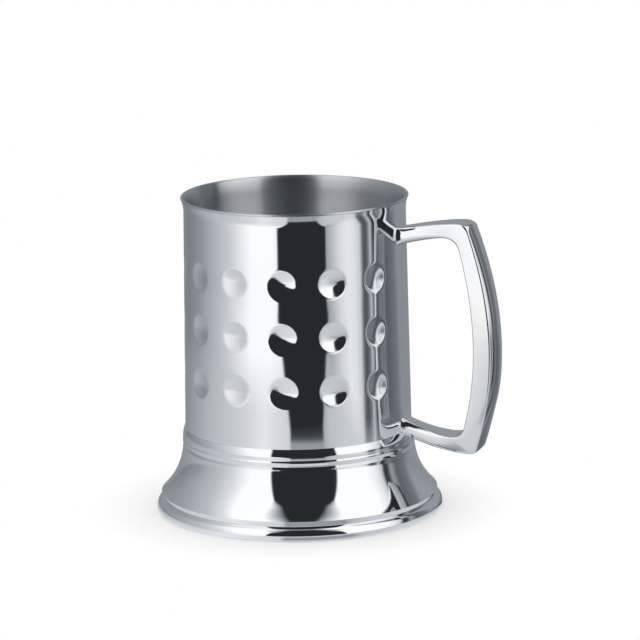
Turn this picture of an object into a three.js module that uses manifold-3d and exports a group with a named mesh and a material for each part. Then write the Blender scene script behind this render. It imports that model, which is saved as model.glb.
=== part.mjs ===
// A double-walled steel mug. A dimpled outer shell and a smooth liner meet at the lip, the shell stands
// in the collar of a flared skirt, a plate closes the skirt, and a cast handle is welded to the shell.
// Millimetres, +Z up. The mug's axis is Z, the table is z = 0 and the handle points along +X.
import * as THREE from "three";
import { mergeVertices } from "three/addons/utils/BufferGeometryUtils.js";
import Module from "manifold-3d";

// The mug as a whole
const HEIGHT = 124;
const SEAT_GAP = 0.3;

// The outer shell, and the lip that it flares out to
const SHELL_TOP_RADIUS = 43;
const SHELL_TAPER = 1.2;
const SHELL_WALL = 0.6;
const LIP_FLARE = 1.1;
const LIP_RISE = 5.2;
const LIP_THICKNESS = 1;

// The pressed dimples: rows between the lip and the collar, with the column behind the handle left out
const DIMPLE_COLUMNS = 14;
const DIMPLE_ROWS = 3;
const DIMPLE_RADIUS = 5.5;
const DIMPLE_DEPTH = 1;
const TOP_ROW_DROP = 22.2;
const LOW_ROW_RISE = 21.8;

// The liner, a drawn cup that hangs from the lip and stays clear of the dimples
const LINER_WALL = 0.6;
const LINER_CLEARANCE = 0.5;
const LINER_FLOOR = 24;
const LINER_CORNER = 8;
const LINER_SHOULDER_RISE = 22;

// The skirt: a collar with two beads round the shell's foot, a flare, and a curled hem to stand on.
// The edge, beads, groove, neck and shoulder are how far the skirt stands out from the collar's bore.
const SKIRT_WALL = 0.8;
const COLLAR_TOP = 33.2;
const COLLAR_EDGE = 0.3;
const COLLAR_BEAD = 0.55;
const COLLAR_BEAD_HEIGHT = 3.6;
const BEAD_GROOVE = 0.5;
const LOWER_BEAD = 0.9;
const LOWER_BEAD_HEIGHT = 3.6;
const NECK = 0.2;
const NECK_HEIGHT = 0.4;
const SHOULDER = 0.8;
const FLARE_TOP_ANGLE = 5;
const FLARE_FOOT_HEIGHT = 7.5;
const FLARE_FOOT_INSET = 1.9;
const FOOT_RADIUS = 56;
const HEM_RADIUS = 2.9;
const HEM_FLAT_DEPTH = 0.1;
const HEM_START_ANGLE = 75;
const HEM_CURL_ANGLE = 285;

// The plate pressed up into the hem
const PLATE_WALL = 0.7;
const PLATE_RECESS = 0.8;
const PLATE_FLANGE = 4.6;
const PLATE_CORNER = 1.6;

// The handle's section: it widens with its reach from the shell, and the back of the grip is crowned until
// a share of the way down. The roots spread on to the shell.
const ARM_WIDTH = 9;
const GRIP_WIDTH = 14;
const WIDEN_START = 5;
const WIDEN_END = 36;
const GRIP_CROWN = 2.3;
const CROWN_FADE = 0.65;
const HANDLE_EDGE = 0.9;
const ROOT_DEPTH = 6.5;
const ROOT_FILLET = 2.4;
const ROOT_SPREAD = 1.2;

// The handle's side: reaches are from the shell's radius, drops from the rim, and rises from the collar
const UPPER_ROOT_DROP = 14.4;
const UPPER_ARM_DROP = 7.5;
const UPPER_ARM_DEPTH = 6;
const UPPER_BEND_REACH = 15.6;
const UPPER_CORNER_REACH = 27.8;
const UPPER_CORNER_INSET = 3.8;
const UPPER_OUTER_CUT = 3.6;
const UPPER_INNER_CUT = 5.2;
const GRIP_BOW_REACH = 43.3;
const GRIP_BOW_DROP = 55.6;
const GRIP_BOW_INSET = 9.2;
const LOWER_ROOT_RISE = 2.6;
const LOWER_ARM_SINK = 6.6;
const LOWER_ARM_DEPTH = 6.6;
const LOWER_BEND_REACH = 13.3;
const LOWER_CORNER_REACH = 29.7;
const LOWER_CORNER_INSET = 5.4;
const LOWER_OUTER_CUT = 2.5;
const LOWER_INNER_CUT = 4.3;

// How finely the pieces are faceted: the facets line up with the dimples
const FACETS_PER_COLUMN = 4;
const FACETS = DIMPLE_COLUMNS * FACETS_PER_COLUMN;
const DIMPLE_RINGS = 2;

// Places that several pieces share
const shellBaseRadius = SHELL_TOP_RADIUS + SHELL_TAPER;
const lipRadius = SHELL_TOP_RADIUS + LIP_FLARE;
const lipStart = HEIGHT - LIP_RISE;
const shellTop = HEIGHT - LIP_THICKNESS - SEAT_GAP;
const topRow = lipStart - TOP_ROW_DROP;
const lowRow = COLLAR_TOP + LOW_ROW_RISE;
const rowPitch = (topRow - lowRow) / (DIMPLE_ROWS - 1);
const collarBore = shellBaseRadius + SEAT_GAP;
const beadGroove = COLLAR_TOP - COLLAR_BEAD_HEIGHT;
const neckTop = beadGroove - LOWER_BEAD_HEIGHT;
const ledge = neckTop + SKIRT_WALL;
const shellFoot = ledge + SEAT_GAP;
const hemCentre = new THREE.Vector2(FOOT_RADIUS - HEM_RADIUS, HEM_RADIUS - HEM_FLAT_DEPTH);

const wasm = await Module();
wasm.setup();

const { degToRad, euclideanModulo, lerp, mapLinear, radToDeg, smoothstep } = THREE.MathUtils;

// Points along an arc, in the half plane of a profile: x is the radius and y the height.
function arc(centreX, centreY, radius, startDegrees, endDegrees, steps) {
  return Array.from({ length: steps + 1 }, (_, i) => {
    const angle = degToRad(lerp(startDegrees, endDegrees, i / steps));
    return new THREE.Vector2(centreX + radius * Math.cos(angle), centreY + radius * Math.sin(angle));
  });
}

// Points along a swelling that runs down from one point to another and stands out to a crest radius.
function bead(topRadius, topHeight, crestRadius, endRadius, endHeight, steps) {
  return Array.from({ length: steps + 1 }, (_, i) => {
    const t = i / steps;
    const swell = Math.sin(Math.PI * t) * (crestRadius - (topRadius + endRadius) / 2);
    return new THREE.Vector2(lerp(topRadius, endRadius, t) + swell, lerp(topHeight, endHeight, t));
  });
}

// A profile turned about the mug's axis.
function revolve(profile) {
  return new THREE.LatheGeometry(profile, FACETS).rotateX(Math.PI / 2);
}

function toSolid(geometry) {
  const bare = geometry.clone();
  bare.deleteAttribute("normal");
  bare.deleteAttribute("uv");
  const merged = mergeVertices(bare, 1e-4);
  const mesh = new wasm.Mesh({
    numProp: 3,
    vertProperties: new Float32Array(merged.attributes.position.array),
    triVerts: new Uint32Array(merged.index.array),
  });
  return new wasm.Manifold(mesh);
}

function toGeometry(solid) {
  const mesh = solid.getMesh();
  const geometry = new THREE.BufferGeometry();
  geometry.setAttribute("position", new THREE.BufferAttribute(mesh.vertProperties, 3));
  geometry.setIndex(new THREE.BufferAttribute(mesh.triVerts, 1));
  geometry.computeVertexNormals();
  return geometry;
}

// The shell is straight inside the collar, tapers evenly up to the lip, and curves out from there.
function shellRadius(height) {
  if (height > lipStart) {
    return SHELL_TOP_RADIUS + LIP_FLARE * ((height - lipStart) / LIP_RISE) ** 2;
  }
  const tapered = Math.max(height, COLLAR_TOP);
  return mapLinear(tapered, COLLAR_TOP, lipStart, shellBaseRadius, SHELL_TOP_RADIUS);
}

// Heights up the shell's lip, close together where it curves.
function lipHeights() {
  const steps = 3;
  return Array.from({ length: steps + 1 }, (_, i) => lerp(lipStart, shellTop, i / steps));
}

// How deep a dimple is at a distance from its centre: a bowl that is flatter in the middle than a sphere.
function dimpleDepth(distance) {
  return DIMPLE_DEPTH * (1 - (distance / DIMPLE_RADIUS) ** 3);
}

// A plain band of the shell's sheet between two heights, from one facet to another. A point of the sheet
// has its place round the mug in facets, its height, and the depth that it is pressed in.
function plainBand(low, high, firstFacet, lastFacet) {
  const faces = [];
  for (let facet = firstFacet; facet < lastFacet; facet += 1) {
    const [a, b] = [facet, facet + 1].map((place) => ({ place, height: low, depth: 0 }));
    const [d, c] = [facet, facet + 1].map((place) => ({ place, height: high, depth: 0 }));
    faces.push([a, b, c], [a, c, d]);
  }
  return faces;
}

// The sheet round one dimple: a web of loops from the cell's border to the dimple's rim and its middle.
function dimpledCell(firstFacet, height) {
  const lastFacet = firstFacet + FACETS_PER_COLUMN;
  const centre = (firstFacet + lastFacet) / 2;
  const facetLength = (2 * Math.PI * shellRadius(height)) / FACETS;
  const steps = Array.from({ length: FACETS_PER_COLUMN + 1 }, (_, i) => i);
  const border = [
    ...steps.map((step) => ({ place: lastFacet - step, height: height + rowPitch / 2, depth: 0 })),
    ...steps.map((step) => ({ place: firstFacet + step, height: height - rowPitch / 2, depth: 0 })),
  ];
  const rings = Array.from({ length: DIMPLE_RINGS }, (_, ring) => {
    const distance = DIMPLE_RADIUS * (1 - ring / DIMPLE_RINGS);
    return border.map((_, i) => {
      const angle = (2 * Math.PI * (i + 0.5)) / border.length;
      return {
        place: centre + (distance * Math.cos(angle)) / facetLength,
        height: height + distance * Math.sin(angle),
        depth: dimpleDepth(distance),
      };
    });
  });
  const middle = { place: centre, height, depth: DIMPLE_DEPTH };
  const loops = [border, ...rings];
  const faces = [];
  border.forEach((_, i) => {
    const next = (i + 1) % border.length;
    rings.forEach((inner, ring) => {
      const outer = loops[ring];
      faces.push([outer[i], outer[next], inner[next]], [outer[i], inner[next], inner[i]]);
    });
    faces.push([loops.at(-1)[i], loops.at(-1)[next], middle]);
  });
  return faces;
}

// The shell's whole sheet: rows of dimpled cells between plain bands. The first cell of each row, which
// lies behind the handle, is plain.
function shellSheet() {
  const upward = [topRow + rowPitch / 2, ...lipHeights()];
  const faces = [
    ...plainBand(shellFoot, COLLAR_TOP, 0, FACETS),
    ...plainBand(COLLAR_TOP, lowRow - rowPitch / 2, 0, FACETS),
    ...upward.slice(1).flatMap((high, i) => plainBand(upward[i], high, 0, FACETS)),
  ];
  for (let row = 0; row < DIMPLE_ROWS; row += 1) {
    const height = lowRow + row * rowPitch;
    faces.push(...plainBand(height - rowPitch / 2, height + rowPitch / 2, 0, FACETS_PER_COLUMN));
    for (let column = 1; column < DIMPLE_COLUMNS; column += 1) {
      faces.push(...dimpledCell(column * FACETS_PER_COLUMN, height));
    }
  }
  return faces;
}

// The sheet given its wall: the outside, the inside, and the two edges that join them.
function outerShell() {
  const onSheet = ({ place, height, depth }, inset) => {
    const facet = euclideanModulo(place, FACETS) - FACETS_PER_COLUMN / 2;
    const angle = (2 * Math.PI * facet) / FACETS;
    const radius = shellRadius(height) - depth - inset;
    return new THREE.Vector3(radius * Math.cos(angle), radius * Math.sin(angle), height);
  };
  const corners = [];
  for (const [a, b, c] of shellSheet()) {
    corners.push(...[a, b, c].map((point) => onSheet(point, 0)));
    corners.push(...[a, c, b].map((point) => onSheet(point, SHELL_WALL)));
  }
  for (let place = 0; place < FACETS; place += 1) {
    for (const [height, from, to] of [[shellFoot, place + 1, place], [shellTop, place, place + 1]]) {
      const [a, b] = [from, to].map((end) => onSheet({ place: end, height, depth: 0 }, 0));
      const [d, c] = [from, to].map((end) => onSheet({ place: end, height, depth: 0 }, SHELL_WALL));
      corners.push(a, b, c, a, c, d);
    }
  }
  return mergeVertices(new THREE.BufferGeometry().setFromPoints(corners), 1e-4);
}

// The liner: straight up past the dimples, then out to lie close inside the shell and over its lip.
function innerLiner() {
  const narrowest = Math.min(SHELL_TOP_RADIUS, shellBaseRadius);
  const outside = narrowest - SHELL_WALL - DIMPLE_DEPTH - LINER_CLEARANCE;
  const shoulderFoot = lipStart - LINER_SHOULDER_RISE;
  const underLip = HEIGHT - LIP_THICKNESS;
  const shoulderSteps = 4;
  const rises = Array.from({ length: shoulderSteps + 1 }, (_, i) => {
    return lerp(shoulderFoot, lipStart, i / shoulderSteps);
  });
  const heights = [...rises, (lipStart + underLip) / 2, underLip];
  const wallLine = (inset) => heights.map((height) => {
    const close = shellRadius(height) - SHELL_WALL - SEAT_GAP;
    const radius = lerp(outside, close, smoothstep(height, shoulderFoot, lipStart));
    return new THREE.Vector2(radius - inset, height);
  });
  const cornerX = outside - LINER_WALL - LINER_CORNER;
  const cornerY = LINER_FLOOR + LINER_CORNER;
  const corner = (wall) => arc(cornerX, cornerY, LINER_CORNER + wall, -90, 0, 3);
  const lipRound = LIP_THICKNESS / 2;
  return revolve([
    new THREE.Vector2(0, LINER_FLOOR - LINER_WALL),
    ...corner(LINER_WALL),
    ...wallLine(0),
    ...arc(lipRadius - lipRound, HEIGHT - lipRound, lipRound, -90, 90, 4),
    ...wallLine(LINER_WALL).reverse(),
    ...corner(0).reverse(),
    new THREE.Vector2(0, LINER_FLOOR),
  ]);
}

// The two beads round the collar, from its top edge down to the neck.
function collarBeads() {
  const edge = collarBore + COLLAR_EDGE;
  const groove = collarBore + BEAD_GROOVE;
  return [
    ...bead(edge, COLLAR_TOP, collarBore + COLLAR_BEAD, groove, beadGroove, 4),
    ...bead(groove, beadGroove, collarBore + LOWER_BEAD, collarBore + NECK, neckTop, 3).slice(1),
  ];
}

// The flare, an arc from the shoulder to just above the hem, at a depth inside the skirt's outer face.
// The angle of its chord is the mean of the angles that it starts and ends at.
function flare(depth, steps) {
  const top = new THREE.Vector2(collarBore + SHOULDER, neckTop - NECK_HEIGHT);
  const foot = new THREE.Vector2(FOOT_RADIUS - FLARE_FOOT_INSET, FLARE_FOOT_HEIGHT);
  const chordAngle = radToDeg(Math.atan2(foot.x - top.x, top.y - foot.y));
  const endAngle = 2 * chordAngle - FLARE_TOP_ANGLE;
  const radius = top.distanceTo(foot) / (2 * Math.sin(degToRad(chordAngle - FLARE_TOP_ANGLE)));
  const centreX = top.x + radius * Math.cos(degToRad(FLARE_TOP_ANGLE));
  const centreY = top.y + radius * Math.sin(degToRad(FLARE_TOP_ANGLE));
  return arc(centreX, centreY, radius + depth, 180 + FLARE_TOP_ANGLE, 180 + endAngle, steps);
}

// The skirt's own sheet curled in under the flare, with its outside flattened where it stands.
function baseSkirt() {
  const curlEnd = HEM_START_ANGLE - HEM_CURL_ANGLE;
  const flat = radToDeg(Math.asin(hemCentre.y / HEM_RADIUS));
  const beads = collarBeads();
  const profile = [
    ...beads,
    ...flare(0, 6),
    ...arc(hemCentre.x, hemCentre.y, HEM_RADIUS, HEM_START_ANGLE, -flat, 5),
    ...arc(hemCentre.x, hemCentre.y, HEM_RADIUS, flat - 180, curlEnd, 3),
    ...arc(hemCentre.x, hemCentre.y, HEM_RADIUS - SKIRT_WALL, curlEnd, HEM_START_ANGLE, 5),
    ...flare(SKIRT_WALL, 3).reverse(),
    new THREE.Vector2(shellBaseRadius - SHELL_WALL, ledge),
    new THREE.Vector2(collarBore, ledge),
    new THREE.Vector2(collarBore, COLLAR_TOP),
    beads[0],
  ];
  return revolve(profile.reverse());
}

// A shallow dish, open upwards, whose flange stands inside the hem.
function bottomPlate() {
  const radius = hemCentre.x - HEM_RADIUS - SEAT_GAP;
  const flangeTop = PLATE_RECESS + PLATE_FLANGE;
  const corner = (wall) => {
    return arc(radius - PLATE_CORNER, PLATE_RECESS + PLATE_CORNER, PLATE_CORNER - wall, -90, 0, 3);
  };
  return revolve([
    new THREE.Vector2(0, PLATE_RECESS),
    ...corner(0),
    new THREE.Vector2(radius, flangeTop),
    new THREE.Vector2(radius - PLATE_WALL, flangeTop),
    ...corner(PLATE_WALL).reverse(),
    new THREE.Vector2(0, PLATE_RECESS + PLATE_WALL),
  ]);
}

// One edge of the handle's side face, as a polygon whose corners are rounded by curves. The outer edge
// has inset 0 and the inner edge inset 1. Both start inside the shell, which then trims the roots.
function handleEdge(inset) {
  const half = ROOT_DEPTH / 2 - inset * ROOT_DEPTH;
  const armTop = HEIGHT - UPPER_ARM_DROP - inset * UPPER_ARM_DEPTH;
  const armBottom = COLLAR_TOP - LOWER_ARM_SINK + inset * LOWER_ARM_DEPTH;
  const fromTop = (reach, height) => new THREE.Vector2(SHELL_TOP_RADIUS + reach, height);
  const fromBase = (reach, height) => new THREE.Vector2(shellBaseRadius + reach, height);
  const root = fromTop(-2 * SHELL_WALL, HEIGHT - UPPER_ROOT_DROP + half);
  const upperBend = fromTop(UPPER_BEND_REACH, armTop);
  const upperCorner = fromTop(UPPER_CORNER_REACH - inset * UPPER_CORNER_INSET, armTop);
  const bow = fromBase(GRIP_BOW_REACH - inset * GRIP_BOW_INSET, HEIGHT - GRIP_BOW_DROP);
  const lowerCorner = fromBase(LOWER_CORNER_REACH - inset * LOWER_CORNER_INSET, armBottom);
  const lowerBend = fromBase(LOWER_BEND_REACH, armBottom);
  const lowerRoot = fromBase(-2 * SHELL_WALL, COLLAR_TOP + LOWER_ROOT_RISE - half);
  const from = (corner, next, cut) => next.clone().sub(corner).setLength(cut).add(corner);
  const upperCut = lerp(UPPER_OUTER_CUT, UPPER_INNER_CUT, inset);
  const lowerCut = lerp(LOWER_OUTER_CUT, LOWER_INNER_CUT, inset);
  const joints = [
    from(upperCorner, upperBend, upperCut),
    from(upperCorner, bow, upperCut),
    from(lowerCorner, bow, lowerCut),
    from(lowerCorner, lowerBend, lowerCut),
  ];
  return [
    new THREE.QuadraticBezierCurve(root, upperBend, joints[0]),
    new THREE.QuadraticBezierCurve(joints[0], upperCorner, joints[1]),
    new THREE.QuadraticBezierCurve(joints[1], bow, joints[2]),
    new THREE.QuadraticBezierCurve(joints[2], lowerCorner, joints[3]),
    new THREE.QuadraticBezierCurve(joints[3], lowerBend, lowerRoot),
  ];
}

// Where each curve of the edges is sampled: close together at the two roots, where the weld fillets are.
const ROOT_STATIONS = [0, 0.06, 0.09, 0.12, 0.17, 0.3, 0.5, 0.7, 0.85];
const CORNER_STATIONS = [0, 0.2, 0.4, 0.6, 0.8];
const GRIP_STATIONS = [0, 0.1, 0.22, 0.36, 0.5, 0.64, 0.78, 0.9];
const HANDLE_STATIONS = [
  ROOT_STATIONS,
  CORNER_STATIONS,
  GRIP_STATIONS,
  CORNER_STATIONS,
  [0, ...ROOT_STATIONS.map((t) => 1 - t).reverse()],
];

// How much of its crown the back has along each curve: it swells round the upper corner, is full on the
// grip and has died away before the lower corner.
const CROWN_SHARES = [
  () => 0,
  (t) => smoothstep(t, 0, 1),
  (t) => 1 - smoothstep(t, CROWN_FADE, 1),
  () => 0,
  () => 0,
];

// One closed section of the handle: a flat inner face, flat sides and a back that is crowned by some
// height. It widens with its reach, and spreads where it meets the shell.
function handleSection(outer, inner, crown) {
  const middle = (inner.x + outer.x) / 2;
  const wall = shellRadius(inner.y) + SEAT_GAP;
  const away = Math.min(1, Math.max(0, middle - wall) / ROOT_FILLET);
  const fillet = ROOT_SPREAD * (1 - Math.sqrt(1 - (1 - away) ** 2));
  const widened = smoothstep(middle - SHELL_TOP_RADIUS, WIDEN_START, WIDEN_END);
  const half = lerp(ARM_WIDTH, GRIP_WIDTH, widened) / 2 + fillet;
  const across = outer.clone().sub(inner).normalize();
  const depth = outer.distanceTo(inner) + fillet;
  const backSteps = 6;
  const back = Array.from({ length: backSteps + 1 }, (_, i) => {
    const side = 1 - (2 * i) / backSteps;
    return [side * half, depth + crown * (1 - side * side)];
  });
  const outline = [
    [HANDLE_EDGE - half, -fillet],
    [half - HANDLE_EDGE, -fillet],
    [half, HANDLE_EDGE - fillet],
    ...back,
    [-half, HANDLE_EDGE - fillet],
  ];
  return outline.map(([side, out]) => {
    return new THREE.Vector3(inner.x + across.x * out, side, inner.y + across.y * out);
  });
}

// A closed skin over a row of sections that have the same number of points.
function loft(sections) {
  const count = sections[0].length;
  const faces = [];
  for (let ring = 0; ring + 1 < sections.length; ring += 1) {
    for (let i = 0; i < count; i += 1) {
      const next = (i + 1) % count;
      const low = ring * count;
      const high = low + count;
      faces.push(low + i, high + next, high + i, low + i, low + next, high + next);
    }
  }
  const last = (sections.length - 1) * count;
  for (let i = 1; i + 1 < count; i += 1) {
    faces.push(0, i + 1, i, last, last + i, last + i + 1);
  }
  return new THREE.BufferGeometry().setFromPoints(sections.flat()).setIndex(faces);
}

function handle() {
  const outerEdge = handleEdge(0);
  const innerEdge = handleEdge(1);
  const sections = HANDLE_STATIONS.flatMap((stations, leg) => {
    return stations.map((t) => {
      const crown = GRIP_CROWN * CROWN_SHARES[leg](t);
      return handleSection(outerEdge[leg].getPoint(t), innerEdge[leg].getPoint(t), crown);
    });
  });
  return toGeometry(toSolid(loft(sections)).subtract(mugWithClearance()));
}

// The outside of shell and collar, grown by the gap that the handle's roots keep to it.
function mugWithClearance() {
  const grown = (radius, height) => new THREE.Vector2(radius + SEAT_GAP, height);
  const collar = collarBeads().map((point) => grown(point.x, point.y)).reverse();
  const overCollar = COLLAR_TOP + SEAT_GAP;
  const outside = [
    ...collar,
    new THREE.Vector2(collar.at(-1).x, overCollar),
    grown(shellRadius(overCollar), overCollar),
    ...lipHeights().map((height) => grown(shellRadius(height), height)),
  ];
  const bottom = new THREE.Vector2(0, outside[0].y);
  const top = new THREE.Vector2(0, outside.at(-1).y);
  return toSolid(revolve([bottom, ...outside, top]));
}

function steel(color, roughness) {
  return new THREE.MeshStandardMaterial({ color, roughness, metalness: 1 });
}

const pieces = {
  outer_shell: [outerShell(), steel(0xd9dce0, 0.05)],
  inner_liner: [innerLiner(), steel(0xb9bcc0, 0.35)],
  base_skirt: [baseSkirt(), steel(0xd9dce0, 0.05)],
  bottom_plate: [bottomPlate(), steel(0xb4b7bb, 0.4)],
  handle: [handle(), steel(0xdcdfe3, 0.08)],
};

const mug = new THREE.Group();
for (const [name, [geometry, material]] of Object.entries(pieces)) {
  const mesh = new THREE.Mesh(geometry, material);
  mesh.name = name;
  mug.add(mesh);
}

export default mug;
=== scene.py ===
# %% [markdown]
# # A polished steel mug
# The mug is made of five pieces of steel: a dimpled outer shell, a smooth liner that is rolled over the
# shell as its lip, a spun skirt, a plate that closes the skirt, and a cast handle. A mirror has almost no
# look of its own, so this lesson spends its care on two things: smooth, exact surfaces, and a plain studio
# for them to reflect.

# %% Load the mug's solids
import math

import bmesh
import bpy
import numpy as np
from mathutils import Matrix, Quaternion, Vector


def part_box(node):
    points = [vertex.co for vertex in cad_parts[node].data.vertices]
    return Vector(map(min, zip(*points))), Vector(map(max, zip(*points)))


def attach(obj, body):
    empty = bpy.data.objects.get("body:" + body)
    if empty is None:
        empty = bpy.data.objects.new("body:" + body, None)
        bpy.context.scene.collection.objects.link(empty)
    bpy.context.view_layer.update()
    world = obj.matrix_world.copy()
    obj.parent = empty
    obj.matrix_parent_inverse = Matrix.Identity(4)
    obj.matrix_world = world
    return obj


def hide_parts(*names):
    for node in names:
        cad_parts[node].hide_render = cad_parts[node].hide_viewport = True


MM = 0.001
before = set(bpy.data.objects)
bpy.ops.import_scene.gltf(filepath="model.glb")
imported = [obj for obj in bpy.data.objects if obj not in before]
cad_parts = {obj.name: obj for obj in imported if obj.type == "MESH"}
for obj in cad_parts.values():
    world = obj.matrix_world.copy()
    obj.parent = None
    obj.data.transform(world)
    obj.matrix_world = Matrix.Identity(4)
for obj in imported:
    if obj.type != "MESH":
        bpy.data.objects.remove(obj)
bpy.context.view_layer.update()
print("solids:", sorted(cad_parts))

# %% [markdown]
# ## Sizes
# The solids already have the mug's real size. The heights and radii that the fine pieces share could be
# typed in again, but read from the solids' boxes they put each fine piece exactly where its solid is. Sizes
# are in metres, written as millimetres times `MM`.

# %% Read the shared sizes from the solids
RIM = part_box("inner_liner")[1].z
LIP_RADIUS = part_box("inner_liner")[1].x
SHELL_BASE_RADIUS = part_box("outer_shell")[1].x
COLLAR_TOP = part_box("base_skirt")[1].z
FOOT_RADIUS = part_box("base_skirt")[1].x
print(f"rim {RIM / MM:.1f} mm, lip {LIP_RADIUS / MM:.1f} mm, foot {FOOT_RADIUS / MM:.1f} mm")

# %% [markdown]
# ## The camera
# The photograph was taken from a little above the rim with a long lens, so the mug's sides hardly converge.
# The view was worked out from the ellipses of rim and foot. The camera stands on a line of sight to a point
# on the mug's axis, and is turned a little so that this point lands on its own pixel. It could be placed by
# the lens shift instead, but a turned camera also suits the views from other sides.

# %% Work out the view
IMAGE = 640
VIEW_AZIMUTH = math.radians(19.9)
VIEW_ELEVATION = math.radians(12.5)
VIEW_ROLL = math.radians(-0.98)
FOCAL_PIXELS = 3943.1
AIM_PIXEL = (297.15, 350.87)

toward_camera = Vector((math.sin(VIEW_AZIMUTH), -math.cos(VIEW_AZIMUTH), 0))
camera_right = Vector((math.cos(VIEW_AZIMUTH), math.sin(VIEW_AZIMUTH), 0))
back = toward_camera * math.cos(VIEW_ELEVATION) + Vector((0, 0, math.sin(VIEW_ELEVATION)))
camera_up = back.cross(camera_right)

off_right = IMAGE / 2 - AIM_PIXEL[0]
off_down = IMAGE / 2 - AIM_PIXEL[1]
turn_right = off_right * math.cos(VIEW_ROLL) + off_down * math.sin(VIEW_ROLL)
turn_down = off_down * math.cos(VIEW_ROLL) - off_right * math.sin(VIEW_ROLL)
sight = camera_right * turn_right - camera_up * turn_down - back * FOCAL_PIXELS
print("seen from", [round(value, 2) for value in back])

# %% Place the camera
AIM_POINT = Vector((0, 0, 62 * MM))
VIEW_DISTANCE = 1535.9 * MM
SENSOR_WIDTH = 36

camera = bpy.data.objects.new("camera", bpy.data.cameras.new("camera"))
camera.data.sensor_width = SENSOR_WIDTH
camera.data.lens = FOCAL_PIXELS / IMAGE * SENSOR_WIDTH
camera.location = AIM_POINT + back * VIEW_DISTANCE
camera.rotation_mode = "QUATERNION"
camera.rotation_quaternion = sight.to_track_quat("-Z", "Y") @ Quaternion((0, 0, 1), VIEW_ROLL)
bpy.context.scene.collection.objects.link(camera)
bpy.context.scene.camera = camera
bpy.context.scene.view_settings.view_transform = "Standard"
print(f"lens {camera.data.lens:.1f} mm at {VIEW_DISTANCE:.2f} m")

# %% [markdown]
# ## Shader arithmetic
# A node tree is an expression drawn as boxes. Its nodes could be added and linked one by one, but a sum
# then takes many lines. This small class lets it be written as an expression again: it wraps an output
# socket, and each `+`, `-`, `*` or `/` on it adds a Math node. Any other node comes from its one method
# `node`, which takes the node's type, its settings and what goes into its sockets.

# %% Wrap a socket
def set_stops(ramp, stops):
    """Gives a colour ramp one grey stop for each (position, level)."""
    while len(ramp.elements) < len(stops):
        ramp.elements.new(1)
    for element, (position, level) in zip(ramp.elements, stops):
        element.position = position
        element.color = (level, level, level, 1)


class Wire:
    """An output socket of a node tree that takes part in Python arithmetic."""

    def __init__(self, tree, socket=None):
        self.tree = tree
        self.socket = socket

    def node(self, kind, settings=None, inputs=None, output=0):
        """Adds a node, sets it up, feeds its sockets and wraps one of its outputs."""
        made = self.tree.nodes.new("ShaderNode" + kind)
        for name, value in (settings or {}).items():
            if name == "stops":
                set_stops(made.color_ramp, value)
            else:
                setattr(made, name, value)
        for key, value in (inputs or {}).items():
            if isinstance(value, Wire):
                self.tree.links.new(value.socket, made.inputs[key])
            else:
                made.inputs[key].default_value = value
        return Wire(self.tree, made.outputs[output] if made.outputs else None)

    def also(self, output):
        """Another output of the node that this socket belongs to."""
        return Wire(self.tree, self.socket.node.outputs[output])

    def math(self, operation, *values, clamp=False):
        """The result of a Math node."""
        settings = {"operation": operation, "use_clamp": clamp}
        return self.node("Math", settings, dict(enumerate(values)))

    def between(self, low, high):
        """The colour this far from one colour to another."""
        return self.node("Mix", {"data_type": "RGBA"}, {0: self, 6: low, 7: high}, output=2)

    def __add__(self, other):
        return self.math("ADD", self, other)

    def __radd__(self, other):
        return self.math("ADD", other, self)

    def __sub__(self, other):
        return self.math("SUBTRACT", self, other)

    def __rsub__(self, other):
        return self.math("SUBTRACT", other, self)

    def __mul__(self, other):
        return self.math("MULTIPLY", self, other)

    def __rmul__(self, other):
        return self.math("MULTIPLY", other, self)

    def __truediv__(self, other):
        return self.math("DIVIDE", self, other)

    def __rtruediv__(self, other):
        return self.math("DIVIDE", other, self)


print("wire ready")

# %% [markdown]
# ## The studio
# Polished steel is photographed between two large white screens, with the camera in the dark gap between
# them: the gap is the black band down the mug's front. The right screen ends in a black frame, and the room
# behind the screens is grey. Screens could be modelled as lit planes, but a world that is painted by
# direction does the same with no extra objects and no noise. A direction has an azimuth, which is 0 towards
# the camera and grows to the right, and an elevation. Both are in degrees.

# %% Find the direction
TO_DEGREES = math.degrees(1)

world = bpy.data.worlds.new("studio")
world.use_nodes = True
world.node_tree.nodes.clear()
world.cycles.sampling_method = "NONE"
bpy.context.scene.world = world


def azimuth_of(start, place):
    """The azimuth of a vector that was taken from the mug's axis."""
    x = start.node("SeparateXYZ", inputs={"Vector": place})
    y = x.also("Y")
    across = x * camera_right.x + y * camera_right.y
    ahead = x * toward_camera.x + y * toward_camera.y
    return start.math("ARCTAN2", across, ahead) * TO_DEGREES


start = Wire(world.node_tree)
direction = start.node("TexCoord", output="Generated")
azimuth = azimuth_of(start, direction)
height = start.node("SeparateXYZ", inputs={"Vector": direction}, output="Z")
elevation = start.math("ARCSINE", height) * TO_DEGREES
print("azimuth 0 looks along", [round(value, 2) for value in toward_camera])

# %% [markdown]
# ## The screens
# Round the mug, the screens' light is a list of levels by azimuth. A painted picture could wrap the room
# instead, but a list is easy to read and to change. The left screen falls off slowly into the room, and
# the right one ends at a black frame. Their edges stand upright, so the higher one looks, the further
# round they seem to be: the list is leaned outwards, by the square of the elevation. Close above the
# table the right screen is dimmer and ends sooner, which takes a second list. In the room behind the
# screens the second list gives way to the first more slowly, so that no line shows there.

# %% Light the screens
SCREEN_STOPS = [
    (-180, 0.35), (-140, 0.34), (-115, 0.43), (-85, 0.61), (-65, 0.85), (-48, 1.18),
    (68, 1.18), (80, 0.95), (86, 0.7), (89.5, 0.05), (94, 0.05), (99.5, 0.38), (107, 0.14),
    (121, 0.21), (129, 0.37), (180, 0.35),
]
LEAN = 0.0135
LEAN_START = 2
LEFT_TO_RIGHT = (-40, 40)
LEAN_FADE = (130, 175)


def step(value, low, high):
    """0 up to the first value, 1 from the second one on, and even in between."""
    return value.math("MULTIPLY", value - low, 1 / (high - low), clamp=True)


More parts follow.
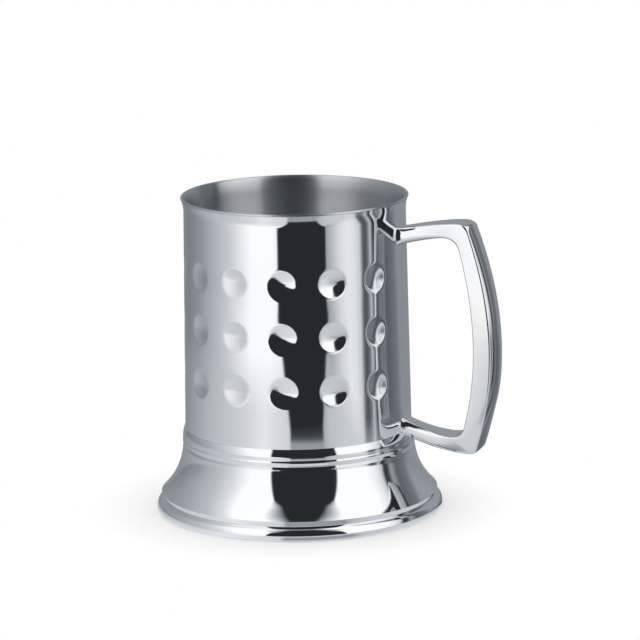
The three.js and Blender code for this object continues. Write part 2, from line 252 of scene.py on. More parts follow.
def by_stops(value, stops):
    """A level that follows a value by stops of (value, level)."""
    low = stops[0][0]
    span = stops[-1][0] - low
    places = [((place - low) / span, level) for place, level in stops]
    return value.node("ValToRGB", {"stops": places}, {"Fac": (value - low) / span})


rise = start.math("MAXIMUM", elevation - LEAN_START, 0)
side = 2 * step(azimuth, *LEFT_TO_RIGHT) - 1
in_front = 1 - step(start.math("ABSOLUTE", azimuth), *LEAN_FADE)
leaned = azimuth - LEAN * rise * rise * side * in_front
screens = by_stops(leaned, SCREEN_STOPS)
print(f"{len(SCREEN_STOPS)} stops round the mug")

# %% Dim them close above the table
LOW_STOPS = [
    (-180, 0.29), (-140, 0.25), (-115, 0.335), (-90, 0.54), (-72, 0.7), (-45, 1.17),
    (-25, 1.17), (33, 0.45), (45, 0.8), (55, 0.94), (63, 0.88), (69.5, 0.7), (72.3, 0.2), (75, 0.1),
    (77.6, 0.12), (80.3, 0.24), (83, 0.58), (85.5, 0.25), (87, 0.04), (89, 0.04), (91.5, 0.12),
    (97, 0.22), (105, 0.13), (120, 0.2), (129, 0.31), (180, 0.29),
]
LOW_TO_HIGH = (-9, -2)
ROOM_LOW_TO_HIGH = (-3, 13)
ROOM_ON_LEFT = (-40, -80)
ROOM_ON_RIGHT = (105, 130)

room = step(azimuth, *ROOM_ON_LEFT) + step(azimuth, *ROOM_ON_RIGHT)
high_in_room = step(elevation, *ROOM_LOW_TO_HIGH)
high = step(elevation, *LOW_TO_HIGH) * (1 - room) + high_in_room * room
level = screens * high + by_stops(azimuth, LOW_STOPS) * (1 - high)
print(f"{len(LOW_STOPS)} stops low down")

# %% [markdown]
# ## The gap
# The gap is a little narrower close above the table. Far up its edges draw apart and grow soft, and the
# ceiling over it is grey. It could be more stops in the lists, but its edges don't move as the screens do,
# so it is cut out of them by its own two edges.

# %% Cut the gap
GAP_LEFT = -27.5
GAP_RIGHT = 36.8
LOW_GAP_LEFT = -18.5
LOW_GAP_RIGHT = 31.4
GAP_LEVEL = 0.027
GAP_SPREAD = 12
SPREAD_HEIGHTS = (52, 68)
EDGE_SOFTNESS = 1.0
HIGH_SOFTNESS = 18
SOFT_HEIGHTS = (42, 68)
CEILING_HEIGHTS = (76, 84)
CEILING_LEVEL = 0.3

spread = GAP_SPREAD * step(elevation, *SPREAD_HEIGHTS)
left = LOW_GAP_LEFT + (GAP_LEFT - LOW_GAP_LEFT) * high - spread
right = LOW_GAP_RIGHT + (GAP_RIGHT - LOW_GAP_RIGHT) * high + spread
softness = EDGE_SOFTNESS + HIGH_SOFTNESS * step(elevation, *SOFT_HEIGHTS)
inside = start.math("MINIMUM", azimuth - left, right - azimuth) / softness
gap = step(inside, -1, 1)
ceiling = step(elevation, *CEILING_HEIGHTS)
level = level * (1 - gap) + GAP_LEVEL * gap
level = level * (1 - ceiling) + CEILING_LEVEL * ceiling
print(f"gap from {GAP_LEFT} to {GAP_RIGHT} degrees")

# %% [markdown]
# ## Who sees what
# Only mirrors see that picture. The camera, and anything seen through a clear thing, sees plain white, and
# matt surfaces get an even soft light. Lamps could give that light, but they would show in the steel. The
# darker a place is, the bluer it is by a touch, as shade is.

# %% Show the studio to mirrors
SOFT_LEVEL = 1.0
SHADE_TINT = (0.88, 0.98, 1.1, 1)
WHITE = (1, 1, 1, 1)


def shade_of(start, level):
    """The colour of a light: white at full level, and bluer the dimmer it is."""
    return start.math("SUBTRACT", 1, level, clamp=True).between(WHITE, SHADE_TINT)


camera_ray = start.node("LightPath", output="Is Camera Ray")
plain = start.math("MAXIMUM", camera_ray, camera_ray.also("Is Transmission Ray"))
mirrored = camera_ray.also("Is Glossy Ray")
seen_level = mirrored * level + (1 - mirrored) * SOFT_LEVEL
strength = plain + (1 - plain) * seen_level
tint = mirrored.between(WHITE, shade_of(start, level))
background = start.node("Background", inputs={"Color": tint, "Strength": strength})
start.node("OutputWorld", inputs={"Surface": background})
print(f"matt surfaces get a level of {SOFT_LEVEL}")

# %% [markdown]
# ## The floor
# A round sheet of white paper carries the mug and its soft shadow. A matt sheet alone would do for that,
# but the steel also mirrors what the mug stands on, so the paper has a second face that only mirrors see,
# with the table's light and shade painted on.

# %% Start the paper
FLOOR_RADIUS = 520 * MM


def new_material(name):
    """A material with an empty node tree, and a wire to start its expressions from."""
    material = bpy.data.materials.new(name)
    material.use_nodes = True
    material.node_tree.nodes.clear()
    return material, Wire(material.node_tree)


paper, start = new_material("paper")
place = start.node("TexCoord", output="Object")
radius = start.node("VectorMath", {"operation": "LENGTH"}, {0: place}, output="Value")
azimuth = azimuth_of(start, place)
print(f"paper out to {FLOOR_RADIUS / MM:.0f} mm from the mug's axis")

# %% [markdown]
# ## The table in the steel
# In the steel the paper shows as a table does: nearly as bright as the screen behind it. That light and
# shade are painted, as a glow of the paper that only mirrors see. Near the mug it has its own list of
# levels, and far out it takes over the screens' low list. On the right that starts nearer, and the list is
# turned a little, the more the nearer the place is, because the steel that mirrors it stands off the axis
# from which azimuths are taken. An even grey would be simpler, but the skirt mirrors little else than the
# table.

# %% Paint the table
# Painted light and shade of the table, by azimuth, which the paper shows as a glow to mirrors alone.
PAINTED_TABLE_STOPS = [
    (-180, 0.3), (-140, 0.31), (-110, 0.45), (-90, 0.57), (-60, 0.71), (-45, 0.8), (-32, 0.94),
    (-20, 0.84), (-9, 0.76), (23, 0.5), (29, 0.64), (46, 0.72), (60, 0.71), (80, 0.62), (86, 0.5),
    (89.5, 0.06), (94, 0.06), (99.5, 0.36), (107, 0.14), (121, 0.2), (129, 0.33), (180, 0.3),
]
NEAR_TO_FAR = (270 * MM, 400 * MM)
FRONT_TO_RIGHT = (40, 65)
RIGHT_NEARER = 170 * MM
TURN_AT_ONE_METRE = 1.58

on_right = step(azimuth, *FRONT_TO_RIGHT)
far = step(radius + RIGHT_NEARER * on_right, *NEAR_TO_FAR)
turned_azimuth = azimuth + TURN_AT_ONE_METRE / radius * on_right
table = by_stops(turned_azimuth, LOW_STOPS) * far + by_stops(azimuth, PAINTED_TABLE_STOPS) * (1 - far)
print(f"{len(PAINTED_TABLE_STOPS)} stops on the table")

# %% [markdown]
# ## The dark column of painted shade
# A dark column of painted shade runs over the table from the mug's front to the gap. It is why the black
# band narrows down the mug's front and ends above the collar. A strip of dark paper could be laid there,
# but a list of levels by distance also gives its lighter near end, and the painted shadow of the mug close
# round its foot. The column spreads to the gap's width as it goes.

# %% Lay the column
# Painted shade on the table by distance from the axis; up to 60 mm it is painted shadow of the mug round
# its foot.
SHADE_COLUMN_STOPS = [
    (0, 0.35), (60 * MM, 0.35), (72 * MM, 0.76), (140 * MM, 0.76), (165 * MM, 0.39), (200 * MM, 0.39),
    (208 * MM, 0.12), (218 * MM, 0.06), (240 * MM, GAP_LEVEL), (FLOOR_RADIUS, GAP_LEVEL),
]
COLUMN_LEFT = -7.5
COLUMN_RIGHT = 22.5
COLUMN_SOFTNESS = 1.2
COLUMN_SPREAD = (235 * MM, 500 * MM)

spread = step(radius, *COLUMN_SPREAD)
left = COLUMN_LEFT + (LOW_GAP_LEFT - COLUMN_LEFT) * spread
right = COLUMN_RIGHT + (LOW_GAP_RIGHT - COLUMN_RIGHT) * spread
inside = start.math("MINIMUM", azimuth - left, right - azimuth)
column = step(inside, -COLUMN_SOFTNESS, COLUMN_SOFTNESS)
table = table * (1 - column) + by_stops(radius, SHADE_COLUMN_STOPS) * column
# The glow that mirrors see: the table's painted light, with the column's painted shade cut in.
painted_table_light = start.node("Emission", inputs={"Color": shade_of(start, table), "Strength": table})
print(f"column from {COLUMN_LEFT} to {COLUMN_RIGHT} degrees")

# %% [markdown]
# ## The paper and its shadow
# To the camera the paper is matt, with a faint fibre. It fades out a little way from the foot, so that the
# shadow ends in plain white. A matt sheet that filled the picture would be a shade darker than white.

# %% Make the paper
FIBRE_SCALE = 400.0
FIBRE_DETAIL = 4.0
PAPER_DARK = (0.97, 0.97, 0.97, 1)
PAPER_LIGHT = (0.99, 0.99, 0.99, 1)
SHADOW_ENDS = (57 * MM, 82 * MM)
CLEAR_AT_FOOT = 0.35


def noise(start, place, scale, detail=2.0):
    """A cloudy level between 0 and 1."""
    return start.node("TexNoise", inputs={"Vector": place, "Scale": scale, "Detail": detail})


fibre = noise(start, place, FIBRE_SCALE, FIBRE_DETAIL)
matt = start.node("BsdfDiffuse", inputs={"Color": fibre.between(PAPER_DARK, PAPER_LIGHT)})
seen = start.node("LightPath", output="Is Camera Ray")
faded = seen * (CLEAR_AT_FOOT + (1 - CLEAR_AT_FOOT) * step(radius, *SHADOW_ENDS))
shown = start.node("MixShader", inputs={0: faded, 1: matt, 2: start.node("BsdfTransparent")})
# Mirrors see the painted table light; the camera sees the matt paper.
surface = start.node("MixShader", inputs={0: seen.also("Is Glossy Ray"), 1: shown, 2: painted_table_light})
start.node("OutputMaterial", inputs={"Surface": surface})
print(f"shadow out to {SHADOW_ENDS[1] / MM:.0f} mm from the mug's axis")

# %% Lay the floor
FLOOR_DROP = 0.1 * MM
FLOOR_SIDES = 128


def add_object(name, mesh, material):
    """Puts a mesh into the scene as an object with one material."""
    made = bpy.data.objects.new(name, mesh)
    made.data.materials.append(material)
    bpy.context.scene.collection.objects.link(made)
    return made


disc = bmesh.new()
bmesh.ops.create_circle(disc, cap_ends=True, segments=FLOOR_SIDES, radius=FLOOR_RADIUS)
floor_mesh = bpy.data.meshes.new("floor")
disc.to_mesh(floor_mesh)
disc.free()
floor = add_object("floor", floor_mesh, paper)
floor.location.z = -FLOOR_DROP
print(f"floor {2 * FLOOR_RADIUS:.2f} m across")

# %% [markdown]
# ## Three finishes of steel
# All three are bare metal, so one Principled shader with full Metallic does for each, and they differ in
# what a polisher would see: how sharp the mirror is, how the sheet ripples, and which way the wheel ran.
# Colour and roughness wander slightly with noise, since even a mirror finish has faint wipe marks. The
# ripple is a bump of some hundredths of a millimetre, too fine to model. The satin sheet is brushed round
# the mug's axis, which spreads its mirror image upwards and downwards.

# %% Finish the steel
WIPE_SCALE = 38.0
WIPE_DETAIL = 4.0
WIPE_SHARE = 0.5
LINE_STRETCH = (60.0, 60.0, 2600.0)
LINE_DETAIL = 3.0
NOISE_MIDDLE = 0.5
QUARTER_TURN = 0.25


def steel(name, dark, light, roughness, ripple, ripple_scale, line_roughness, brushed=0.0):
    """Bare steel whose lines run round the mug, as a polishing wheel leaves them."""
    material, start = new_material(name)
    place = start.node("TexCoord", output="Object")
    wipe = noise(start, place, WIPE_SCALE, WIPE_DETAIL)
    drawn_out = start.node("VectorMath", {"operation": "MULTIPLY"}, {0: place, 1: LINE_STRETCH})
    lines = noise(start, drawn_out, 1.0, LINE_DETAIL)
    waves = noise(start, place, ripple_scale)
    bump = start.node("Bump", inputs={"Height": waves * ripple, "Distance": 1.0, "Strength": 1.0})
    wiped = (wipe - NOISE_MIDDLE) * (roughness * WIPE_SHARE)
    lined = (lines - NOISE_MIDDLE) * line_roughness
    shader = start.node("BsdfPrincipled", inputs={
        "Base Color": wipe.between(dark, light),
        "Metallic": 1.0,
        "Roughness": roughness + wiped + lined,
        "Anisotropic": brushed,
        "Anisotropic Rotation": QUARTER_TURN,
        "Normal": bump,
    })
    start.node("OutputMaterial", inputs={"Surface": shader})
    return material


polished = steel(
    "polished_sheet", dark=(0.80, 0.82, 0.845, 1), light=(0.84, 0.855, 0.875, 1),
    roughness=0.05, ripple=0.03 * MM, ripple_scale=42.0, line_roughness=0.01,
)
satin = steel(
    "satin_sheet", dark=(0.64, 0.67, 0.7, 1), light=(0.7, 0.725, 0.755, 1),
    roughness=0.36, ripple=0.01 * MM, ripple_scale=60.0, line_roughness=0.04, brushed=1.0,
)
cast = steel(
    "polished_casting", dark=(0.77, 0.785, 0.805, 1), light=(0.81, 0.82, 0.84, 1),
    roughness=0.09, ripple=0.04 * MM, ripple_scale=90.0, line_roughness=0.01,
)
print("finishes:", polished.name, satin.name, cast.name)

# %% [markdown]
# ## Turning a profile
# Four of the five pieces are round. Each is drawn as a closed line of (radius, height) points, half a
# section through the sheet, and turned about the mug's axis. Blender's Screw modifier could do that, but
# the shell also has to be pressed in at its dimples, so the points are worked out as one array here.

# %% Helpers for the meshes
SAME_POINT = 0.001 * MM
SHARP_DEGREES = 35


def mesh_of_rings(name, rings, closed_round):
    """Skins an array of rings of points with quads. Each ring is closed, and so may be the row of rings."""
    count, around = rings.shape[:2]
    index = np.arange(count * around).reshape(count, around)
    near = index if closed_round else index[:-1]
    far = np.roll(index, -1, axis=0)[:len(near)]
    quads = np.stack([near, far, np.roll(far, -1, axis=1), np.roll(near, -1, axis=1)], axis=-1)
    mesh = bpy.data.meshes.new(name)
    mesh.from_pydata(rings.reshape(-1, 3), [], quads.reshape(-1, 4))
    return mesh


def finish_mesh(mesh):
    """Joins points that coincide, turns the faces outwards and shades all but the sharp edges smooth."""
    work = bmesh.new()
    work.from_mesh(mesh)
    bmesh.ops.remove_doubles(work, verts=work.verts, dist=SAME_POINT)
    bmesh.ops.recalc_face_normals(work, faces=work.faces)
    work.to_mesh(mesh)
    work.free()
    mesh.shade_smooth()
    mesh.set_sharp_from_angle(angle=math.radians(SHARP_DEGREES))


def turned(name, profile, sides, material, press=None):
    """Turns a closed profile about the mug's axis. The press says how far each point is pushed inwards."""
    turn = np.linspace(0, 2 * math.pi, sides, endpoint=False)[:, None]
    radius, height = np.concatenate(profile).T
    depth = press(turn, height) if press else 0
    rings = np.stack([
        (radius - depth) * np.cos(turn),
        (radius - depth) * np.sin(turn),
        height + 0 * turn,
    ], axis=-1)
    mesh = mesh_of_rings(name, rings, closed_round=True)
    finish_mesh(mesh)
    return add_object(name, mesh, material)


def stands_for(piece, node):
    """The piece shows in place of a solid, on the mug's one body."""
    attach(piece, "root")
    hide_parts(node)
    print(f"{piece.name}: {len(piece.data.polygons)} faces for {node}")


print(f"edges over {SHARP_DEGREES} degrees stay sharp")

# %% [markdown]
# ## The outer shell
# A sheet of steel rolled to a tube, a little wider at the foot, bent out at the top to meet the lip, with
# round dimples pressed in from outside. A dimple could be a bump in the material, but then its rim would
# vanish at the mug's edge and would not be in the mesh. So the grid is fine enough to press each one in: a
# shallow bowl with a rounded rim. The column behind the handle has none.

# %% Draw the shell's line
SHEET = 0.6 * MM
SHELL_TAPER = 1.2 * MM
SHELL_TOP_RADIUS = SHELL_BASE_RADIUS - SHELL_TAPER
SHELL_IN_COLLAR = 6.1 * MM
SHELL_FOOT = COLLAR_TOP - SHELL_IN_COLLAR
LIP_RISE = 6 * MM
LIP_START = RIM - LIP_RISE
# The wall leans out over the last stretch under the rim, and the bend at its start is rounded.
LIP_FLARE = 4 * MM
LIP_BEND = 1.8 * MM


def shell_radius(height):
    """The shell's outside: straight in the collar, tapering up to the lip, and bent out there."""
    height = np.asarray(height)
    taper = np.interp(height, [COLLAR_TOP, LIP_START], [SHELL_BASE_RADIUS, SHELL_TOP_RADIUS])
    above = height - RIM + LIP_FLARE
    in_bend = np.clip(above + LIP_BEND, 0, 2 * LIP_BEND) ** 2 / (4 * LIP_BEND)
    over_bend = np.clip(above - LIP_BEND, 0, None)
    return taper + (LIP_RADIUS - SHELL_TOP_RADIUS) / LIP_FLARE * (in_bend + over_bend)


def shell_line(heights, inset):
    """The shell's outside, or a line this far inside it, as points of a profile."""
    return np.column_stack([shell_radius(heights) - inset, heights])


print(f"shell from {SHELL_BASE_RADIUS / MM:.1f} to {SHELL_TOP_RADIUS / MM:.1f} mm in radius")

# %% Lay out the dimples
DIMPLE_COLUMNS = 14
DIMPLE_ROWS = 3
DIMPLE_RADIUS = 5.8 * MM
DIMPLE_DEPTH = 0.74 * MM
DIMPLE_POWER = 1.25
TOP_ROW_UNDER_LIP = 21.4 * MM
LOW_ROW_OVER_COLLAR = 21.8 * MM
TOP_ROW = LIP_START - TOP_ROW_UNDER_LIP
LOW_ROW = COLLAR_TOP + LOW_ROW_OVER_COLLAR
ROW_PITCH = (TOP_ROW - LOW_ROW) / (DIMPLE_ROWS - 1)
COLUMN_TURN = 2 * math.pi / DIMPLE_COLUMNS


def dimples(turn, height):
    """How far the sheet is pressed in: a bowl about the nearest dimple, eased into the plain wall."""
    column = np.round(turn / COLUMN_TURN)
    row = np.clip(np.round((height - LOW_ROW) / ROW_PITCH), 0, DIMPLE_ROWS - 1)
    along = (turn - column * COLUMN_TURN) * shell_radius(height)
    up = height - LOW_ROW - row * ROW_PITCH
    inside = np.clip(1 - (along ** 2 + up ** 2) / DIMPLE_RADIUS ** 2, 0, 1)
    behind_handle = column % DIMPLE_COLUMNS == 0
    return np.where(behind_handle, 0, DIMPLE_DEPTH * inside ** DIMPLE_POWER)


print(f"rows of dimples {ROW_PITCH / MM:.1f} mm apart")

# %% Press the shell
SIDES_PER_COLUMN = 29
DIMPLE_STEP = 0.65 * MM
LIP_THICKNESS = 1 * MM
LIP_LEAD = 2 * MM
LIP_POINTS = 22

shell_heights = np.concatenate([
    [SHELL_FOOT, COLLAR_TOP],
    np.arange(LOW_ROW - ROW_PITCH / 2, TOP_ROW + ROW_PITCH / 2, DIMPLE_STEP),
    np.linspace(LIP_START - LIP_LEAD, RIM - LIP_THICKNESS / 2, LIP_POINTS),
])
shell = turned("shell", [
    shell_line(shell_heights, 0),
    shell_line(shell_heights[::-1], SHEET),
], DIMPLE_COLUMNS * SIDES_PER_COLUMN, polished, dimples)
stands_for(shell, "outer_shell")

# %% [markdown]
# ## The liner
# The cup that holds the drink is drawn from one disc: flat floor, round corner, straight wall. Near the top
# it swells out to lie against the shell, and its edge is rolled over the shell's as a thin bright lip. The
# shell could be given a second, inner side instead, but the dimples would then show in the cup.

# %% Helpers for profiles
def arc(centre, radius, start_degrees, end_degrees, steps):
    """Points along an arc of a profile."""
    angle = np.radians(np.linspace(start_degrees, end_degrees, steps + 1))
    return np.column_stack([centre[0] + radius * np.cos(angle), centre[1] + radius * np.sin(angle)])


def line(first, last, steps):
    """Points, or heights alone, along a straight stretch of a profile."""
    return np.linspace(first, last, steps + 1)


def eased(value, low, high):
    """0 below low, 1 above high, and smooth in between."""
    share = np.clip((value - low) / (high - low), 0, 1)
    return share ** 2 * (3 - 2 * share)


print("a profile is made of lines, arcs and eased stretches")

# %% Draw the liner
LINER_RADIUS = 40.3 * MM
LINER_FLOOR = 24 * MM
LINER_CORNER = 8 * MM
LINER_PLAIN_WALL = 10 * MM
LINER_SHOULDER = 22 * MM
SHOULDER_START = LIP_START - LINER_SHOULDER
LIP_ROUND = LIP_THICKNESS / 2
LIP_ARC = (-90, 120)
# The flat's last point stands at -90 degrees, so a corner's arc starts just past it.
CORNER_START = -85
ROUND_SIDES = 224


def liner_line(heights, inset):
    """The liner's wall, eased from the cup's radius to just inside the shell."""
    outside = LINER_RADIUS + SHEET
    swell = eased(heights, SHOULDER_START, LIP_START)
    radius = outside + swell * (shell_radius(heights) - SHEET - outside)
    return np.column_stack([radius - inset, heights])


corner_centre = (LINER_RADIUS - LINER_CORNER, LINER_FLOOR + LINER_CORNER)
wall_heights = np.concatenate([
    line(corner_centre[1] + LINER_PLAIN_WALL, SHOULDER_START, steps=3),
    line(SHOULDER_START, RIM - LIP_THICKNESS, steps=23)[1:],
])
liner = turned("liner", [
    line((0, LINER_FLOOR - SHEET), (corner_centre[0], LINER_FLOOR - SHEET), steps=8),
    arc(corner_centre, LINER_CORNER + SHEET, CORNER_START, 0, steps=12),
    liner_line(wall_heights, 0),
    arc((LIP_RADIUS - LIP_ROUND, RIM - LIP_ROUND), LIP_ROUND, *LIP_ARC, steps=14),
    liner_line(wall_heights[::-1], SHEET),
    arc(corner_centre, LINER_CORNER, 0, CORNER_START, steps=12),
    line((corner_centre[0], LINER_FLOOR), (0, LINER_FLOOR), steps=8),
], ROUND_SIDES, satin)
stands_for(liner, "inner_liner")

# %% [markdown]
# ## The skirt
# The foot is one spun sheet. From the top it has a collar with two rolled beads, a narrow neck, a hollow
# flare, a sharp crease and a hem curled in to stand on. Its line could be drawn as one free curve, but a
# spinner works in plain rounds: the flare and the hem are arcs, the curl under the hem is a quarter round
# pressed flat, and each bead is half a wave.

# %% Shape the beads, the flare and the curl
def bead(top, crest_radius, end, steps):
    """Half a wave from one point of the profile to another, standing out to a crest."""
    share = np.linspace(0, 1, steps + 1)
    swell = np.sin(math.pi * share) * (crest_radius - (top[0] + end[0]) / 2)
    return np.column_stack([
        top[0] + share * (end[0] - top[0]) + swell,
        top[1] + share * (end[1] - top[1]),
    ])


def flare(top, foot, top_angle, depth, steps):
    """The arc from shoulder to foot, at a depth in the sheet. Its chord halves its start and end angles."""
    chord_angle = math.atan2(foot[0] - top[0], top[1] - foot[1])
    first = math.radians(top_angle)
    radius = math.hypot(foot[0] - top[0], top[1] - foot[1]) / (2 * math.sin(chord_angle - first))
    centre = (top[0] + radius * math.cos(first), top[1] + radius * math.sin(first))
    end_angle = 2 * math.degrees(chord_angle) - top_angle
    return arc(centre, radius + depth, 180 + top_angle, 180 + end_angle, steps)


def curl(outermost, width, steps):
    """A quarter round pressed flat, from its outermost point in to the table."""
    reach, height = outermost
    return arc((0, 0), 1, 0, -90, steps) * (width, height) + (reach - width, height)


print("a skirt takes two beads, a flare, a hem and a curl")

# %% Place the skirt's points
COLLAR_EDGE = 0.3 * MM
COLLAR_BEAD_HEIGHT = 4.3 * MM
BEAD_GROOVE = 1 * MM
LOWER_BEAD_HEIGHT = 3 * MM
NECK = 0.4 * MM
NECK_HEIGHT = 0.4 * MM
SHOULDER = 1.1 * MM
CREASE_INSET = 1.9 * MM
CREASE_HEIGHT = 7.5 * MM
HEM_RADIUS = 3.4 * MM
HEM_HEIGHT = 1.9 * MM
TOE_RADIUS = 0.8 * MM
TOE_INSET = 4.6 * MM

bore = SHELL_BASE_RADIUS
groove_height = COLLAR_TOP - COLLAR_BEAD_HEIGHT
neck_height = groove_height - LOWER_BEAD_HEIGHT
edge_point = (bore + COLLAR_EDGE, COLLAR_TOP)
groove_point = (bore + BEAD_GROOVE, groove_height)
neck_point = (bore + NECK, neck_height)
shoulder_point = (bore + SHOULDER, neck_height - NECK_HEIGHT)
crease_point = (FOOT_RADIUS - CREASE_INSET, CREASE_HEIGHT)
hem_centre = (FOOT_RADIUS - HEM_RADIUS, HEM_HEIGHT)
toe_centre = (FOOT_RADIUS - TOE_INSET, TOE_RADIUS)
print(f"flare from {shoulder_point[1] / MM:.1f} down to {CREASE_HEIGHT / MM:.1f} mm")

# %% Spin the skirt
SKIRT_SHEET = 0.8 * MM
COLLAR_BEAD = 0.9 * MM
LOWER_BEAD = 1.08 * MM
FLARE_TOP_ANGLE = 5
HEM_START = 75
CURL_WIDTH = 4.2 * MM
TOE_ARC = (-90, -200)

skirt = turned("skirt", [
    bead(edge_point, bore + COLLAR_BEAD, groove_point, steps=14),
    bead(groove_point, bore + LOWER_BEAD, neck_point, steps=14)[1:],
    flare(shoulder_point, crease_point, FLARE_TOP_ANGLE, 0, steps=40),
    arc(hem_centre, HEM_RADIUS, HEM_START, 0, steps=24),
    curl((FOOT_RADIUS, HEM_HEIGHT), CURL_WIDTH, steps=20)[1:],
    arc(toe_centre, TOE_RADIUS, *TOE_ARC, steps=10),
    flare(shoulder_point, crease_point, FLARE_TOP_ANGLE, SKIRT_SHEET, steps=24)[::-1],
    line((bore - SHEET, SHELL_FOOT), (bore, SHELL_FOOT), steps=1),
    line((bore, SHELL_FOOT), (bore, COLLAR_TOP), steps=2)[1:],
], ROUND_SIDES, polished)
stands_for(skirt, "base_skirt")

# %% [markdown]
# ## The bottom plate
# A shallow pressed dish closes the foot from below. A flat disc would close it too, but a pressed plate has
# a rounded corner and a flange, which stands up inside the hem.

# %% Press the plate
PLATE_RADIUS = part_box("bottom_plate")[1].x
PLATE_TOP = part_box("bottom_plate")[1].z
PLATE_SHEET = 0.7 * MM
PLATE_RECESS = 0.8 * MM
PLATE_CORNER = 1.6 * MM

plate_centre = (PLATE_RADIUS - PLATE_CORNER, PLATE_RECESS + PLATE_CORNER)
plate_inside = PLATE_RECESS + PLATE_SHEET
plate = turned("plate", [
    line((0, PLATE_RECESS), (plate_centre[0], PLATE_RECESS), steps=10),
    arc(plate_centre, PLATE_CORNER, CORNER_START, 0, steps=10),
    line((PLATE_RADIUS, PLATE_TOP), (PLATE_RADIUS - PLATE_SHEET, PLATE_TOP), steps=1),
    arc(plate_centre, PLATE_CORNER - PLATE_SHEET, 0, CORNER_START, steps=10),
    line((plate_centre[0], plate_inside), (0, plate_inside), steps=10),
], ROUND_SIDES, satin)
stands_for(plate, "bottom_plate")

# %% [markdown]
# ## The handle
# The handle is cast: flat sides, a flat inner face for the fingers and a crowned back, bent through two
# rounded corners, with a small weld fillet at each root. A bar bent along a curve would keep one section
# all the way, and this one changes, so it is lofted. Two edge lines, outer and inner, are bent polygons
# whose corners are quadratic curves; at each step along them stands one rounded section.

# %% Draw the handle's edges
ROOT_DEPTH = 6.5 * MM
ROOT_SINK = 1.2 * MM
UPPER_ROOT_DROP = 14.4 * MM
UPPER_BEND_REACH = 15.6 * MM
BOW_DROP = 55.6 * MM
LOWER_BEND_REACH = 13.3 * MM
LOWER_ROOT_RISE = 2.6 * MM
LEG_STEPS = (36, 18, 48, 18, 36)


def cut_back(corner, towards, length):
    """The point at this length from a corner, along the side towards another point."""
    return corner + (towards - corner) / np.linalg.norm(towards - corner) * length


def handle_edge(half_root, top_drop, corner_reach, corner_cut, bow_reach, heel_reach, heel_cut, heel_drop):
    """An edge of the side view, from root to root, as (reach, height). The heel is its lower corner."""
    top = RIM - top_drop
    bottom = COLLAR_TOP - heel_drop
    upper_root = np.array((SHELL_TOP_RADIUS - ROOT_SINK, RIM - UPPER_ROOT_DROP + half_root))
    upper_bend = np.array((SHELL_TOP_RADIUS + UPPER_BEND_REACH, top))
    corner = np.array((SHELL_TOP_RADIUS + corner_reach, top))
    bow = np.array((SHELL_BASE_RADIUS + bow_reach, RIM - BOW_DROP))
    heel = np.array((SHELL_BASE_RADIUS + heel_reach, bottom))
    lower_bend = np.array((SHELL_BASE_RADIUS + LOWER_BEND_REACH, bottom))
    lower_root = np.array((SHELL_BASE_RADIUS - ROOT_SINK, COLLAR_TOP + LOWER_ROOT_RISE - half_root))
    legs = [
        upper_root, upper_bend, cut_back(corner, upper_bend, corner_cut),
        corner, cut_back(corner, bow, corner_cut),
        bow, cut_back(heel, bow, heel_cut),
        heel, cut_back(heel, lower_bend, heel_cut),
        lower_bend, lower_root,
    ]
    points = []
    for leg, steps in enumerate(LEG_STEPS):
        first, middle, last = legs[2 * leg:2 * leg + 3]
        share = np.linspace(0, 1, steps, endpoint=False)[:, None]
        points.append((1 - share) ** 2 * first + 2 * share * (1 - share) * middle + share ** 2 * last)
    return np.concatenate([*points, [lower_root]])


outer_edge = handle_edge(
    half_root=ROOT_DEPTH / 2, top_drop=7.5 * MM, corner_reach=27.8 * MM, corner_cut=3.6 * MM,
    bow_reach=43.3 * MM, heel_reach=29.7 * MM, heel_cut=2.5 * MM, heel_drop=6.6 * MM,
)
inner_edge = handle_edge(
    half_root=-ROOT_DEPTH / 2, top_drop=13.5 * MM, corner_reach=24 * MM, corner_cut=5.2 * MM,
    bow_reach=34.1 * MM, heel_reach=24.3 * MM, heel_cut=4.3 * MM, heel_drop=0,
)
print(f"handle reaches {outer_edge[:, 0].max() / MM:.1f} mm before its crown")

# %% Vary the section along the handle
ARM_WIDTH = 9 * MM
GRIP_WIDTH = 14 * MM
WIDEN_START = SHELL_TOP_RADIUS + 5 * MM
WIDEN_END = SHELL_TOP_RADIUS + 36 * MM
ARM_SLOPE = 4
GRIP_SLOPE = 34
CROWN_FADE = 0.65
ARM_ROUND = 2.4 * MM
GRIP_OUTER_ROUND = 0.9 * MM
GRIP_INNER_ROUND = 0.5 * MM

# The arms have a flat back. The crown grows in the upper corner and fades out down the grip.
arm, corner, grip, heel, lower_arm = [np.linspace(0, 1, steps, endpoint=False) for steps in LEG_STEPS]
crowned = np.concatenate([
    0 * arm, eased(corner, 0, 1), 1 - eased(grip, CROWN_FADE, 1), 0 * heel, 0 * lower_arm, [0],
])
slopes = ARM_SLOPE + (GRIP_SLOPE - ARM_SLOPE) * crowned
widened = eased((outer_edge[:, 0] + inner_edge[:, 0]) / 2, WIDEN_START, WIDEN_END)
halves = (ARM_WIDTH + (GRIP_WIDTH - ARM_WIDTH) * widened) / 2
inner_rounds = ARM_ROUND + (GRIP_INNER_ROUND - ARM_ROUND) * widened
outer_rounds = ARM_ROUND + (GRIP_OUTER_ROUND - ARM_ROUND) * widened
print(f"handle from {2 * halves.min() / MM:.1f} to {2 * halves.max() / MM:.1f} mm wide")

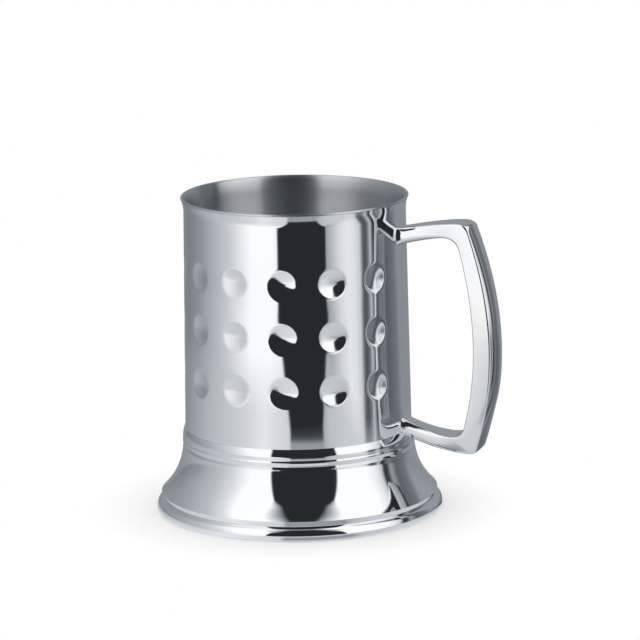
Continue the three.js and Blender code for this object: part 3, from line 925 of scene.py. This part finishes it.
# %% Draw one section
def handle_section(depth, half, slope, inner_round, outer_round):
    """Half of a section, then its mirror image: offsets across the width and out from the inner face."""
    crown_end = math.radians(90 - slope)
    crown_radius = (half - outer_round * (1 - math.cos(crown_end))) / math.cos(crown_end)
    # The rounding's centre lies a whole radius under a flat back, and half a radius under a full crown.
    shoulder = depth - outer_round * (1 - slope / GRIP_SLOPE / 2)
    crown_middle = shoulder + (outer_round - crown_radius) * math.sin(crown_end)
    right = np.concatenate([
        line((0, 0), (half - inner_round, 0), steps=3)[:-1],
        arc((half - inner_round, inner_round), inner_round, -90, 0, steps=6),
        arc((half - outer_round, shoulder), outer_round, 0, 90 - slope, steps=8),
        arc((0, crown_middle), crown_radius, 90 - slope, 90, steps=12)[1:],
    ])
    left = right[-2:0:-1] * (-1, 1)
    return np.concatenate([right, left])


def stood_up(section, foot, out):
    """A section's points in the mug, across from a foot point and out from it."""
    return np.column_stack([
        foot[0] + section[:, 1] * out[0],
        section[:, 0],
        foot[1] + section[:, 1] * out[1],
    ])


print(f"the crown slopes by {GRIP_SLOPE} degrees at the grip's edges")

# %% Loft the handle
ROOT_FILLET = 2.6 * MM
ROOT_SPREAD = 0.8 * MM

rings = []
for outer, inner, *shape in zip(outer_edge, inner_edge, halves, slopes, inner_rounds, outer_rounds):
    depth = np.linalg.norm(outer - inner)
    out = (outer - inner) / depth
    section = handle_section(depth, *shape)
    # Close to the shell the section spreads in a quarter round, as a weld does.
    x, y, z = stood_up(section, inner, out).T
    away = np.hypot(x, y) - shell_radius(z)
    near = 1 - np.clip(away / ROOT_FILLET, 0, 1)
    spread = ROOT_SPREAD * (1 - np.sqrt(1 - near ** 2))
    from_middle = section - (0, depth / 2)
    outward = from_middle / np.linalg.norm(from_middle, axis=1)[:, None]
    rings.append(stood_up(section + outward * spread[:, None], inner, out))

handle_mesh = mesh_of_rings("handle", np.array(rings), closed_round=False)
caps = bmesh.new()
caps.from_mesh(handle_mesh)
bmesh.ops.holes_fill(caps, edges=caps.edges)
caps.to_mesh(handle_mesh)
caps.free()
finish_mesh(handle_mesh)
handle = add_object("grip", handle_mesh, cast)
stands_for(handle, "handle")
